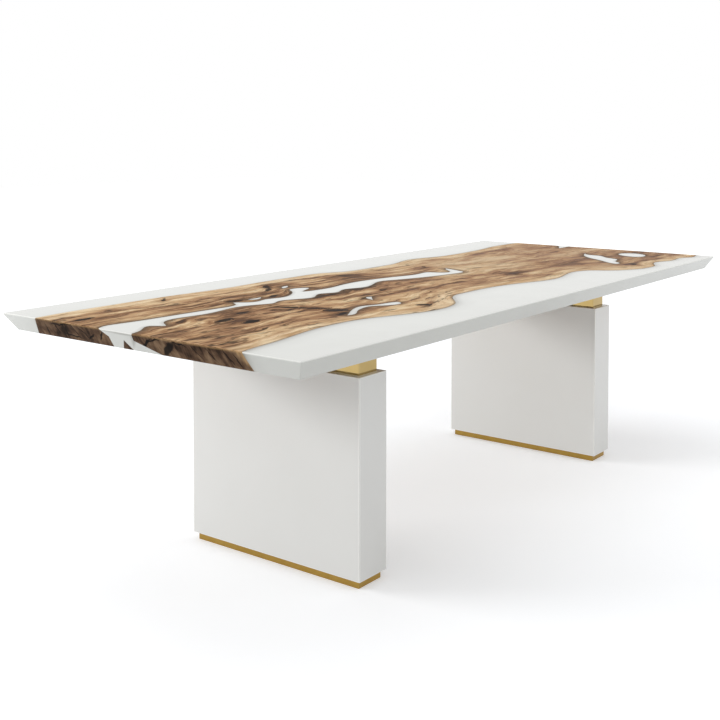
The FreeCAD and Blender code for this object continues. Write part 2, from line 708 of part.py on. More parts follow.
def build_foot(side, row, x, y):
    # a pad on the floor and a stud with a hexagon collar that winds it in and out
    pad_body = new_body(f"{side}_{row}_pad")
    socket = "(stud_radius + thread_clearance)"
    floor = "(foot_thickness - foot_socket_depth)"
    turned(pad_body, f"{side}_{row}_pad", [
        ("0", "0"), ("foot_radius", "0"), ("foot_radius", "foot_rim"), ("foot_crown_radius", "foot_thickness"),
        (socket, "foot_thickness"), (socket, floor), ("0", floor),
    ])
    piece(place(pad_body, x, y), f"{side}_{row}_foot_pad")
    low = f"({floor} + seat_clearance)"
    shank = cylinder(f"{side}_{row}_shank", "stud_radius", f"{BASE_TOP} + stud_rise - {low}", x, y, low)
    collar = doc.addObject("Part::Prism", f"{side}_{row}_collar")
    collar.Polygon = 6
    foot = "(foot_thickness + seat_clearance)"
    tall = f"{BASE_UNDERSIDE} - collar_clearance - {foot}"
    bind(collar, Circumradius="stud_collar_radius", Height=tall)
    place(collar, x, y, foot)
    piece(fuse(f"{side}_{row}_stud", [shank, collar]), f"{side}_{row}_foot_stud")


def build_table():
    small_screw, large_screw = machine_screw("small"), machine_screw("large")
    small_insert, large_insert = threaded_insert("small"), threaded_insert("large")
    build_top()
    build_stiffeners(small_screw, small_insert)
    height = f"{UNDERSIDE} + plate_thickness"
    seats = [spot for _, x in PEDESTALS for spot in plate_screw_places(x, height)]
    piece(copies("plate_inserts", large_insert, seats), "plate_inserts")
    for (side, x), faces in zip(PEDESTALS, (("outer", "inner"), ("inner", "outer"))):
        build_box(side, x, *faces)
        build_floor(side, x, small_insert)
        build_plinth(side, x)
        build_frame(side, x, small_screw, large_screw)
        build_neck(side, x)
        for row, y in (("front", "-" + FOOT_Y), ("back", FOOT_Y)):
            build_foot(side, row, x, y)


build_table()
doc.recompute()
failed = [thing.Label for thing in doc.Objects if {"Invalid", "Error"} & set(thing.State)]
failed += [thing.Label for thing in pieces if thing.Shape.isNull() or not thing.Shape.isValid()]
if failed:
    raise RuntimeError("these did not build: " + ", ".join(failed))
os.makedirs("parts", exist_ok=True)
for thing in pieces:
    thing.Shape.exportStep(f"parts/{thing.Label}.step")
    print(thing.Label, len(thing.Shape.Solids), round(thing.Shape.Volume))
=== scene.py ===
import math
from functools import partial
import bmesh
import bpy
import numpy as np
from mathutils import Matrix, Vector
from mathutils.geometry import delaunay_2d_cdt
from mathutils.kdtree import KDTree


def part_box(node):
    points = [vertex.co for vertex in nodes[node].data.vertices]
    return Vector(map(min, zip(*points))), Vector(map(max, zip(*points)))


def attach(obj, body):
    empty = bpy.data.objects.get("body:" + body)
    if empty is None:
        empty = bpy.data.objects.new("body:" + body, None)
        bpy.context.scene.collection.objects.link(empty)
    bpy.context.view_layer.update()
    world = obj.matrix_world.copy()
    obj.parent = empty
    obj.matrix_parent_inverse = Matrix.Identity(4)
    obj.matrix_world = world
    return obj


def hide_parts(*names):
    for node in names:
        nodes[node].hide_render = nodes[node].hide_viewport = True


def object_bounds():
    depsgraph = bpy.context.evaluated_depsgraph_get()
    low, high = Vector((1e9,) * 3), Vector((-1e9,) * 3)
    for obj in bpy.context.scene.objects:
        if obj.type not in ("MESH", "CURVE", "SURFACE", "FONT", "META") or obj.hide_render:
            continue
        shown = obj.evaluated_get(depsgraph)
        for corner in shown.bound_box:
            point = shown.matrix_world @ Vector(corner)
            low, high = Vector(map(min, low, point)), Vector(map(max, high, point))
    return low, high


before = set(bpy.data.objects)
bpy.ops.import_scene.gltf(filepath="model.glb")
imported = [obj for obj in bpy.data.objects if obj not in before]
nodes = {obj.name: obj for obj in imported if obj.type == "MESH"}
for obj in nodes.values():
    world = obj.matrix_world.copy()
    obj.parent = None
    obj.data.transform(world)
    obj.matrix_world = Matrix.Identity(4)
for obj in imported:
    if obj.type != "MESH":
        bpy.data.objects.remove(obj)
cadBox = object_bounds()
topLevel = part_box("walnut_slab")[1].z
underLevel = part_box("walnut_slab")[0].z
print("frame loaded:", len(nodes), "nodes")

mm = 0.001
noiseLow, noiseHigh = 0.3, 0.7   # nearly all that a noise gives lies between these


def linear(hexColour):
    # sRGB hex to the linear values that sockets take
    parts = [int(hexColour[i:i + 2], 16) / 255 for i in (0, 2, 4)]
    return [p / 12.92 if p <= 0.04045 else ((p + 0.055) / 1.055) ** 2.4 for p in parts] + [1.0]


def feed(node, inputs):
    # an input is a value or the socket that feeds it
    for name, value in inputs.items():
        if isinstance(value, bpy.types.NodeSocket):
            node.id_data.links.new(value, node.inputs[name])
        else:
            node.inputs[name].default_value = value


def addNode(owner, kind, inputs=None, stops=(), **settings):
    # one node in a material or in the world, with its settings, inputs and ramp colours
    made = owner.node_tree.nodes.new("ShaderNode" + kind)
    for name, value in settings.items():
        setattr(made, name, value)
    feed(made, inputs or {})
    for index, (place, hexColour) in enumerate(stops):
        ramp = made.color_ramp.elements
        stop = ramp[index] if index < 2 else ramp.new(place)   # a new ramp has two stops
        stop.position = place
        stop.color = linear(hexColour)
    return made.outputs


def newMaterial(name):
    material = bpy.data.materials.new(name)
    material.use_nodes = True
    shader = material.node_tree.nodes["Principled BSDF"]
    return material, shader, partial(addNode, material)


def overlay(add, colour, over, value, mark, times=(), **settings):
    # lays one colour over another: a mark says where it starts, where it is full, and how strong
    start, full, most = mark
    amount = add("MapRange", {
        "Value": value, "From Min": start, "From Max": full, "To Min": 0.0, "To Max": most},
        **settings)["Result"]
    for factor in times:
        amount = add("Math", {0: amount, 1: factor}, operation="MULTIPLY")["Value"]
    return add("MixRGB", {"Fac": amount, "Color1": colour, "Color2": over})["Color"]


# the table top: copies of the slab and the resin with finer faces, so that the figure can follow
# the wood
topSetup = {
    "cell": 7 * mm,            # spacing of the points inside a face
    "underCell": 20 * mm,
    "rims": (3 * mm, 8 * mm, 15 * mm),   # rows of points that follow an outline
    "rowClear": 0.85,          # share of its distance that a row keeps from other outlines
    "flatNormal": 0.99,
    "levelSlack": 0.05 * mm,
    "mergeReach": 0.002 * mm,
    "smoothAngle": 9,
    "grainCell": 10 * mm,
    "relaxSteps": 2600,
    "acrossScale": 0.35,       # metres of grain between the middle of the fork and a live edge
    "lineStep": 2 * mm,        # spacing of the points on a joint line
    "ownRim": 8 * mm,          # an outline this near the table's sides is no joint
    # dark knots and bark pockets: x, y, half length, half width, slope
    "knots": [
        (-1.276, 0.282, 0.050, 0.010, 0.1), (-1.061, -0.040, 0.050, 0.012, 0.25),
        (-1.016, -0.112, 0.036, 0.015, 0.2), (-0.935, 0.010, 0.050, 0.007, 0.1),
        (-0.823, -0.040, 0.030, 0.012, -0.9), (-0.764, -0.035, 0.034, 0.012, -1.4),
        (-0.735, -0.100, 0.060, 0.015, -1.6), (-0.722, -0.175, 0.050, 0.013, -1.8),
        (-0.765, -0.228, 0.030, 0.008, 0.4), (-0.490, -0.316, 0.030, 0.014, -0.9),
        (-0.527, 0.268, 0.060, 0.010, 0.7), (-0.482, 0.318, 0.046, 0.011, 0.9),
        (-0.623, 0.158, 0.050, 0.012, 0.3), (-0.779, 0.185, 0.032, 0.014, -0.6),
        (-0.890, 0.375, 0.040, 0.006, 1.0), (0.290, 0.200, 0.030, 0.008, 1.4),
        (0.862, -0.402, 0.030, 0.018, 0.5), (-0.080, 0.290, 0.050, 0.010, -0.4),
    ],
    "knotHold": (2, 0.5),      # widths and squared reach inside which grain lines part round a knot
    "knotShade": (0.45, 1.6, 3),   # wood darkens round a knot: strength, times its length and width
    # lighter and darker stretches: x, y, reach along, reach across, strength
    "tones": [
        (-0.66, 0.335, 0.16, 0.075, 1.0), (-0.56, 0.290, 0.06, 0.045, 0.8),
        (-1.20, 0.410, 0.14, 0.03, 0.5), (0.55, 0.150, 0.34, 0.160, 0.9),
        (0.45, -0.020, 0.15, 0.090, 0.9), (0.88, -0.050, 0.22, 0.060, 0.7),
        (1.15, 0.020, 0.15, 0.060, 0.7), (-0.55, -0.300, 0.17, 0.050, 0.8),
        (0.70, -0.370, 0.16, 0.070, 0.9), (0.20, -0.240, 0.45, 0.045, 0.6),
        (-0.32, -0.220, 0.20, 0.050, 0.5), (-0.69, 0.000, 0.05, 0.050, 0.8),
        (-1.10, -0.260, 0.30, 0.040, 0.5), (-0.95, -0.170, 0.25, 0.040, 0.3),
        (0.05, 0.330, 0.25, 0.03, 0.5), (-1.10, -0.120, 0.45, 0.200, 0.12),
        (-0.98, 0.330, 0.40, 0.070, 0.45), (-0.20, 0.000, 0.50, 0.300, -0.10),
        (-1.25, 0.280, 0.14, 0.030, -0.8), (-0.95, 0.200, 0.22, 0.035, -0.6),
        (-0.42, 0.280, 0.06, 0.080, -0.6), (-0.08, 0.280, 0.08, 0.090, -0.8),
        (0.25, 0.190, 0.08, 0.090, -1.3), (-1.18, 0.030, 0.20, 0.050, -0.8),
        (-0.75, -0.100, 0.05, 0.120, -0.8), (-0.52, 0.040, 0.11, 0.050, -0.45),
        (-0.36, 0.050, 0.09, 0.040, -0.35), (0.32, -0.150, 0.06, 0.100, -1.3),
        (0.75, -0.170, 0.25, 0.080, -0.5), (1.02, 0.270, 0.08, 0.040, -0.9),
        (1.02, 0.055, 0.07, 0.020, -0.8), (0.82, -0.080, 0.10, 0.050, -0.7),
        (1.25, 0.200, 0.10, 0.100, -0.4), (1.20, -0.250, 0.15, 0.150, -0.5),
        (-1.29, -0.060, 0.06, 0.130, -0.5), (0.45, 0.100, 0.36, 0.200, 0.75),
    ],
}


def relax(potential, free, steps):
    # each free cell takes the mean of its four neighbours, many times over
    for _ in range(steps):
        padded = np.pad(potential, 1, mode="edge")
        mean = (padded[2:, 1:-1] + padded[:-2, 1:-1] + padded[1:-1, 2:] + padded[1:-1, :-2]) / 4
        potential[free] = mean[free]


def grainField(setup):
    # grain lines part round the fork as streamlines do: a potential between the two live edges
    cell = setup["grainCell"]
    low, high = cadBox[0], cadBox[1]
    xs = np.arange(low[0] + cell / 2, high[0], cell)
    ys = np.arange(low[1] + cell / 2, high[1], cell)
    graph = bpy.context.evaluated_depsgraph_get()
    levels = {"resin_back_border": 1.0, "resin_front_border": -1.0, "resin_river": 0.0}
    potential = np.zeros((len(xs), len(ys)))
    free = np.zeros_like(potential, bool)
    hole = np.zeros_like(potential, bool)
    for i, x in enumerate(xs):
        for j, y in enumerate(ys):
            above = (x, y, topLevel + 1)
            hit, _, _, _, thing, _ = bpy.context.scene.ray_cast(graph, above, (0, 0, -1))
            name = thing.name if hit else "resin_front_border" if y < 0 else "resin_back_border"
            free[i, j] = name not in levels
            hole[i, j] = name == "resin_pocket_fills"
            potential[i, j] = levels.get(name, 0.0)
    relax(potential, free, setup["relaxSteps"])
    # lines also run round the holes and the knots, which keep the level of their middle
    gx, gy = np.meshgrid(xs, ys, indexing="ij")
    widths, limit = setup["knotHold"]
    for x, y, reach, width, slope in setup["knots"]:
        along, aside = knotPlace(gx, gy, x, y, slope)
        inside = (along / reach) ** 2 + (aside / (widths * width)) ** 2 < limit
        inside &= free
        if inside.any():
            potential[inside] = potential[inside].mean()
            free &= ~inside
    relax(potential, free & ~hole, setup["relaxSteps"])
    return xs, ys, potential


def knotPlace(x, y, knotX, knotY, slope):
    turn = math.atan(slope)
    dx, dy = x - knotX, y - knotY
    return dx * math.cos(turn) + dy * math.sin(turn), dy * math.cos(turn) - dx * math.sin(turn)


def sampleField(field, x, y):
    xs, ys, values = field
    u = np.clip((x - xs[0]) / (xs[1] - xs[0]), 0, len(xs) - 1.001)   # leaves one more cell ahead
    v = np.clip((y - ys[0]) / (ys[1] - ys[0]), 0, len(ys) - 1.001)
    i, j = u.astype(int), v.astype(int)
    s, t = u - i, v - j
    near = values[i, j] * (1 - t) + values[i, j + 1] * t
    far = values[i + 1, j] * (1 - t) + values[i + 1, j + 1] * t
    return near * (1 - s) + far * s


def pointTree(points):
    tree = KDTree(len(points))
    for index, point in enumerate(points):
        tree.insert((point[0], point[1], 0), index)
    tree.balance()
    return tree


def mergedShape(mesh, setup):
    shape = bmesh.new()
    shape.from_mesh(mesh)
    bmesh.ops.remove_doubles(shape, verts=shape.verts, dist=setup["mergeReach"])
    return shape


def finerFace(shape, level, up, cell, rims, setup):
    # lays the flat face at this level out again: points on a grid, and in rows along its outline
    faces = [f for f in shape.faces if f.normal.z * up > setup["flatNormal"]
             and abs(f.calc_center_median().z - level) < setup["levelSlack"]]
    if not faces:
        return
    chosen = set(faces)
    rim = [e for e in shape.edges if len([f for f in e.link_faces if f in chosen]) == 1]
    corners = list(dict.fromkeys(v for e in rim for v in e.verts))   # in the same order each run
    place = {v: i for i, v in enumerate(corners)}
    points = [Vector((v.co.x, v.co.y)) for v in corners]
    outline = []
    inner = []
    for e in rim:
        a, b = e.verts[0].co.xy, e.verts[1].co.xy
        count = max(1, int((b - a).length / (cell / 2)))
        side = Vector((a.y - b.y, b.x - a.x)).normalized()
        for k in range(count):
            spot = a.lerp(b, (k + 0.5) / count)
            outline.append(spot)
            inner += [(spot + side * (turn * reach), reach) for reach in rims for turn in (1, -1)]
    near = pointTree(outline)
    for spot, reach in inner:
        if near.find((spot.x, spot.y, 0))[2] > setup["rowClear"] * reach:
            points.append(spot)
    xs = [v.x for v in points[:len(corners)]]
    ys = [v.y for v in points[:len(corners)]]
    clear = max(rims) + cell / 2 if rims else cell / 2
    for row, y in enumerate(np.arange(min(ys), max(ys), cell)):
        for x in np.arange(min(xs) + (row % 2) * cell / 2, max(xs), cell):
            if near.find((x, y, 0))[2] > clear:
                points.append(Vector((x, y)))
    edges = [(place[e.verts[0]], place[e.verts[1]]) for e in rim]
    withinEdges, nearness = 1, 1e-7
    flat, _, triangles, origins, _, _ = delaunay_2d_cdt(points, edges, [], withinEdges, nearness)
    middles = np.array([(flat[a] + flat[b] + flat[c]) / 3 for a, b, c in triangles])
    crossed = np.zeros(len(middles), int)
    for e in rim:
        # a middle inside the outline has an odd number of rim edges to its right
        low, high = sorted((v.co.xy for v in e.verts), key=lambda spot: spot.y)
        beside = (middles[:, 1] >= low.y) & (middles[:, 1] < high.y)
        rise = max(high.y - low.y, 1e-12)   # a level edge has no rise
        reach = (middles[:, 1] - low.y) * (high.x - low.x) / rise + low.x
        crossed += beside & (reach > middles[:, 0])
    triangles = [t for t, count in zip(triangles, crossed) if count % 2]
    bmesh.ops.delete(shape, geom=faces, context="FACES")
    made = {}
    for index in {i for t in triangles for i in t}:
        kept = [corners[i] for i in origins[index] if i < len(corners)]
        made[index] = kept[0] if kept else shape.verts.new((flat[index].x, flat[index].y, level))
    for a, b, c in triangles:
        order = (made[a], made[b], made[c]) if up > 0 else (made[c], made[b], made[a])
        shape.faces.new(order)


def finerCopy(nodeName, setup):
    # a merged copy of a cast piece whose upper face and underside have finer faces
    mesh = nodes[nodeName].data.copy()
    shape = mergedShape(mesh, setup)
    shape.normal_update()
    finerFace(shape, topLevel, 1, setup["cell"], setup["rims"], setup)
    finerFace(shape, underLevel, -1, setup["underCell"], (), setup)
    shape.to_mesh(mesh)
    shape.free()
    mesh.materials.clear()
    piece = bpy.data.objects.new(nodeName + "_cast", mesh)
    bpy.context.scene.collection.objects.link(piece)
    bpy.ops.object.select_all(action="DESELECT")
    piece.select_set(True)
    bpy.context.view_layer.objects.active = piece
    bpy.ops.mesh.customdata_custom_splitnormals_clear()   # the loaded normals don't fit new faces
    bpy.ops.object.shade_smooth_by_angle(angle=math.radians(setup["smoothAngle"]))
    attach(piece, "table")
    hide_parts(nodeName)
    return piece


def cornersOf(mesh):
    flat = np.empty(len(mesh.vertices) * 3, np.float32)
    mesh.vertices.foreach_get("co", flat)
    return flat.reshape(-1, 3).astype(float)


def setAttribute(mesh, name, values):
    layer = mesh.attributes.new(name, "FLOAT", "POINT")
    layer.data.foreach_set("value", np.asarray(values, np.float32))


def jointLine(nodeName, setup):
    # points where this resin meets the wood: the outline of its upper face, without the table's
    # own rim
    inside = [side - setup["ownRim"] for side in cadBox[1]]
    upperFrom = topLevel - setup["levelSlack"]
    shape = mergedShape(nodes[nodeName].data, setup)
    points = []
    for edge in shape.edges:
        ends = [v.co for v in edge.verts]
        upper = [f for f in edge.link_faces if all(v.co.z > upperFrom for v in f.verts)]
        if len(upper) == 1 and any(abs(e.x) < inside[0] and abs(e.y) < inside[1] for e in ends):
            count = max(1, int(edge.calc_length() / setup["lineStep"]))
            points += [ends[0].lerp(ends[1], k / count) for k in range(count)]
    shape.free()
    return points


def distances(corners, points):
    tree = pointTree(points)
    return np.array([tree.find((c[0], c[1], 0))[2] for c in corners])


def paintTop(piece, field, lines, setup):
    # what the finishes read at each corner: grain, distances from the edges, knots and tones
    mesh = piece.data
    corners = cornersOf(mesh)
    x, y = corners[:, 0], corners[:, 1]
    setAttribute(mesh, "across", sampleField(field, x, y) * setup["acrossScale"])
    setAttribute(mesh, "edge", distances(corners, lines["front"] + lines["back"]))
    setAttribute(mesh, "bank", distances(corners, lines["river"] + lines["holes"]))
    knots = np.zeros(len(corners))
    tones = np.zeros(len(corners))
    shade, longer, wider = setup["knotShade"]
    for knotX, knotY, reach, width, slope in setup["knots"]:
        along, aside = knotPlace(x, y, knotX, knotY, slope)
        along, aside = along / reach, aside / width
        knots = np.maximum(knots, np.exp(-along ** 2 - aside ** 2))
        tones -= shade * np.exp(-(along / longer) ** 2 - (aside / wider) ** 2)
    setAttribute(mesh, "knot", knots)
    for toneX, toneY, along, across, strength in setup["tones"]:
        tones += strength * np.exp(-((x - toneX) / along) ** 2 - ((y - toneY) / across) ** 2)
    setAttribute(mesh, "tone", np.clip(tones, -1, 1))


castNames = ["walnut_slab", "walnut_offcut", "resin_river", "resin_pocket_fills",
             "resin_back_border", "resin_front_border"]
grain = grainField(topSetup)
print("grain laid:", grain[2].shape)
jointLines = {line: jointLine(name, topSetup) for line, name in (
    ("front", "resin_front_border"), ("back", "resin_back_border"),
    ("river", "resin_river"), ("holes", "resin_pocket_fills"))}
cast = {name: finerCopy(name, topSetup) for name in castNames}
for castPiece in cast.values():
    paintTop(castPiece, grain, jointLines, topSetup)
print("table top laid out:", {name: len(piece.data.polygons) for name, piece in cast.items()})


# walnut and resin meet more cleanly along the straighter back edge, most of all on its left
backEdge = {"x": (-0.7, 0.1), "y": (-0.05, 0.05)}


def towardsBack(add, split, front, backLeft, backRight):
    # one value along the front edge, and another along the back edge that changes to the right
    back = add("MapRange", {
        "Value": split["X"], "From Min": backEdge["x"][0], "From Max": backEdge["x"][1],
        "To Min": backLeft, "To Max": backRight})["Result"]
    return add("MapRange", {
        "Value": split["Y"], "From Min": backEdge["y"][0], "From Max": backEdge["y"][1],
        "To Min": front, "To Max": back})["Result"]


# walnut, sawn along the grain, sanded and oiled: brown heart with wavy dark lines and a honey
# sapwood rim
walnutLook = {
    # heartwood from the darkest growth to the palest
    "heart": [(0.06, "27160B"), (0.24, "613F21"), (0.39, "956E4B"), (0.50, "B08861"),
              (0.62, "C6A178"), (0.78, "D9BA90"), (0.95, "EAD2AB")],
    "violet": "9A7A68", "streak": "33200F", "crack": "1E1208", "knot": "160C05",
    "bank": "69503A", "rim": "5E4D38", "sap": ("C39B6E", "F0DAB6"), "sapBands": (0.36, 0.62),
    # lines wander over a hand's length and ripple over a finger's: length, width, sway
    "sways": [(200 * mm, 80 * mm, 70 * mm), (60 * mm, 30 * mm, 20 * mm)],
    # length along the grain, width across it, noise detail
    "layers": {
        "broad": (0.45, 0.085, 2), "bands": (0.20, 0.030, 4), "lines": (0.10, 0.010, 3),
        "flecks": (0.070, 0.013, 3), "pores": (0.024, 0.0016, 1), "wave": (0.14, 0.05, 2),
        "splits": (0.34, 0.050, 3),
    },
    "layerStep": (7.3, 3.1, 0),   # each layer is cut from another place in the noise
    "shares": {"broad": 0.75, "bands": 1.75, "lines": 0.75}, "toneShare": 0.24,
    "violetFrom": (-0.5, 0.1), "violetTo": (0.9, 0.75),   # x and share of violet
    "calm": (-1.2, 1.05),         # the more violet, the fewer flecks and splits
    "knotShares": {"flecks": 1.9, "lines": 0.8},
    # marks: value where one starts, value where it is full, strength
    "fleckMark": (0.57, 0.68, 0.85), "splitMark": (0.030, 0.006, 0.85),
    "knotMark": (1.66, 1.92, 0.95), "splitPlaces": (0.53, 0.43),
    # marks along an edge start and end at a distance, which a wave shifts by some of its sway
    "sapMark": (24 * mm, -10 * mm, 0.88), "sapSway": -85 * mm,
    "bankMark": (10 * mm, -24 * mm, 0.80), "bankSway": -50 * mm,
    "rimMark": (5 * mm, -2 * mm, 0.70), "rimSway": -8 * mm, "rimBack": (6 * mm, 2 * mm),
    "poreSpan": (0.55, 0.75), "poreShade": 0.70,
    "roughness": (0.42, 0.55), "specular": 0.012,
}


def walnutMaterial(look):
    material, shader, add = newMaterial("oiled walnut")
    read = {name: add("Attribute", attribute_name=name)["Fac"]
            for name in ("across", "edge", "bank", "knot", "tone")}
    place = add("TexCoord")["Object"]
    split = add("SeparateXYZ", {"Vector": place})
    moved = read["across"]
    for length, width, sway in look["sways"]:
        coarse = add("Mapping", {
            "Vector": place, "Scale": (1 / length, 1 / width, 1 / width)})["Vector"]
        wander = add("TexNoise", {"Vector": coarse, "Scale": 1.0, "Detail": 2.0})["Fac"]
        moved = add("Math", {0: wander, 1: sway, 2: moved}, operation="MULTIPLY_ADD")["Value"]
    flow = add("CombineXYZ", {"X": split["X"], "Y": moved, "Z": split["Z"]})["Vector"]
    layers = {}
    for name, (length, width, detail) in look["layers"].items():
        scaled = add("Mapping", {
            "Vector": flow, "Location": [len(layers) * step for step in look["layerStep"]],
            "Scale": (1 / length, 1 / width, 1 / width)})["Vector"]
        layers[name] = add("TexNoise", {
            "Vector": scaled, "Scale": 1.0, "Detail": detail, "Roughness": 0.6})["Fac"]
    # heartwood: bands, growth lines and the drawn tones added up, then read off a ramp
    level = add("Math", {
        0: read["tone"], 1: look["toneShare"], 2: 0.5 - sum(look["shares"].values()) / 2},
        operation="MULTIPLY_ADD")["Value"]
    for name, share in look["shares"].items():
        level = add("Math", {
            0: layers[name], 1: share, 2: level}, operation="MULTIPLY_ADD")["Value"]
    heart = add("ValToRGB", {"Fac": level}, stops=look["heart"])["Color"]
    # the right half is more violet than the left
    (leftX, leftShare), (rightX, rightShare) = look["violetFrom"], look["violetTo"]
    rightness = add("MapRange", {
        "Value": split["X"], "From Min": leftX, "From Max": rightX,
        "To Min": leftShare, "To Max": rightShare})["Result"]
    violet = add("Math", {0: rightness, 1: layers["wave"]}, operation="MULTIPLY")["Value"]
    colour = add("MixRGB", {
        "Fac": violet, "Color1": heart, "Color2": linear(look["violet"])})["Color"]
    # short dark flecks, fewer towards the fork
    calm = add("Math", {
        0: rightness, 1: look["calm"][0], 2: look["calm"][1]}, operation="MULTIPLY_ADD")["Value"]
    colour = overlay(add, colour, linear(look["streak"]), layers["flecks"], look["fleckMark"],
                     times=[calm])
    # honey sapwood inside the live edges, its border uneven by some 20 mm
    uneven = add("Math", {
        0: layers["wave"], 1: look["sapSway"], 2: read["edge"]}, operation="MULTIPLY_ADD")["Value"]
    banded = add("MapRange", {
        "Value": layers["bands"], "From Min": look["sapBands"][0],
        "From Max": look["sapBands"][1]})["Result"]
    sap = add("MixRGB", {
        "Fac": banded, "Color1": linear(look["sap"][0]), "Color2": linear(look["sap"][1])})["Color"]
    colour = overlay(add, colour, sap, uneven, look["sapMark"], interpolation_type="SMOOTHSTEP")
    # brown-grey bark along the river and the holes
    banked = add("Math", {
        0: layers["wave"], 1: look["bankSway"], 2: read["bank"]}, operation="MULTIPLY_ADD")["Value"]
    colour = overlay(add, colour, linear(look["bank"]), banked, look["bankMark"],
                     interpolation_type="SMOOTHSTEP")
    # thin dark splits that run with the figure and come and go
    apart = add("Math", {0: layers["splits"], 1: 0.5}, operation="SUBTRACT")["Value"]
    apart = add("Math", {0: apart}, operation="ABSOLUTE")["Value"]
    here = add("MapRange", {
        "Value": layers["broad"], "From Min": look["splitPlaces"][0],
        "From Max": look["splitPlaces"][1]})["Result"]
    colour = overlay(add, colour, linear(look["crack"]), apart, look["splitMark"],
                     times=[here, calm])
    # knots and bark pockets, broken up by the growth lines
    knotted = read["knot"]
    for name, share in look["knotShares"].items():
        knotted = add("Math", {
            0: layers[name], 1: share, 2: knotted}, operation="MULTIPLY_ADD")["Value"]
    colour = overlay(add, colour, linear(look["knot"]), knotted, look["knotMark"])
    # the thin grey line of cambium where wood meets resin
    fainter = towardsBack(add, split, 0.0, *look["rimBack"])
    nearest = add("Math", {0: read["edge"], 1: fainter}, operation="ADD")["Value"]
    nearest = add("Math", {0: nearest, 1: read["bank"]}, operation="MINIMUM")["Value"]
    lined = add("Math", {
        0: layers["wave"], 1: look["rimSway"], 2: nearest}, operation="MULTIPLY_ADD")["Value"]
    colour = overlay(add, colour, linear(look["rim"]), lined, look["rimMark"])
    # open pores, drawn three times coarser than real ones so that they show
    pored = add("MapRange", {
        "Value": layers["pores"], "From Min": look["poreSpan"][0], "From Max": look["poreSpan"][1],
        "To Min": 1.0, "To Max": look["poreShade"]})["Result"]
    colour = add("MixRGB", {
        "Fac": 1.0, "Color1": colour, "Color2": pored}, blend_type="MULTIPLY")["Color"]
    polish = add("MapRange", {
        "Value": layers["bands"], "From Min": noiseLow, "From Max": noiseHigh,
        "To Min": look["roughness"][0], "To Max": look["roughness"][1]})["Result"]
    dent = add("Bump", {
        "Height": layers["pores"], "Strength": 0.05, "Distance": 0.6 * mm})["Normal"]
    feed(shader, {"Base Color": colour, "Roughness": polish, "Normal": dent,
                  "Specular IOR Level": look["specular"]})
    return material


# end grain of the same boards, sawn across: dark, with leaning rings, drying cracks and a pale rim
endLook = {
    "dark": "271B12", "sap": "C6A274", "crack": "0B0705",
    "shades": [(0.54, "271B12"), (0.70, "5A4434"), (0.88, "866D55")],
    # rings, rays and blotches: lean in degrees, width across, length along, share
    "grains": [(-30, 13 * mm, 50 * mm, 0.50), (-38, 3 * mm, 30 * mm, 0.18),
               (0, 70 * mm, 40 * mm, 0.72)],
    "alongWood": 0.2,          # all of it changes slowly along the boards
    "bendLength": 30 * mm, "bend": (0.0, 16 * mm, 16 * mm),
    "sapSway": -50 * mm, "sapMark": (12 * mm, 0.0, 0.85), "sapStain": 0.25,
    "barkMark": (5 * mm, 1 * mm, 0.85),
    # painted highlight along the top arris: levels where it starts and is full, strength
    "highlightMark": (topLevel - 5 * mm, topLevel - 2 * mm, 0.3),
    "crackMark": (0.10, 0.40, 0.92),
    # y, z, half length, half width, lean in degrees
    "cracks": [
        (-0.112, 0.734, 0.050, 0.0120, -38), (-0.060, 0.748, 0.050, 0.0035, -14),
        (-0.030, 0.738, 0.040, 0.0050, -32), (-0.215, 0.738, 0.030, 0.0022, 55),
        (-0.265, 0.735, 0.030, 0.0020, 60), (-0.325, 0.735, 0.032, 0.0030, 62),
        (-0.352, 0.732, 0.030, 0.0025, 66), (-0.160, 0.752, 0.030, 0.0028, 12),
        (0.330, 0.740, 0.028, 0.0030, 80), (0.290, 0.735, 0.026, 0.0028, 105),
        (0.250, 0.742, 0.024, 0.0026, 70), (0.215, 0.736, 0.024, 0.0030, 50),
        (0.190, 0.728, 0.026, 0.0035, -30), (0.270, 0.724, 0.050, 0.0030, 8),
        (0.375, 0.732, 0.026, 0.0024, 95), (0.305, 0.753, 0.060, 0.0024, -4),
        (0.140, 0.740, 0.030, 0.0040, -45),
    ],
    # faces sawn across: distance of the table's ends from its middle, reach, least x of a normal
    "endAt": 1.32, "endReach": 30 * mm, "endNormal": 0.6,
    "roughness": 0.5, "specular": 0.02,
}


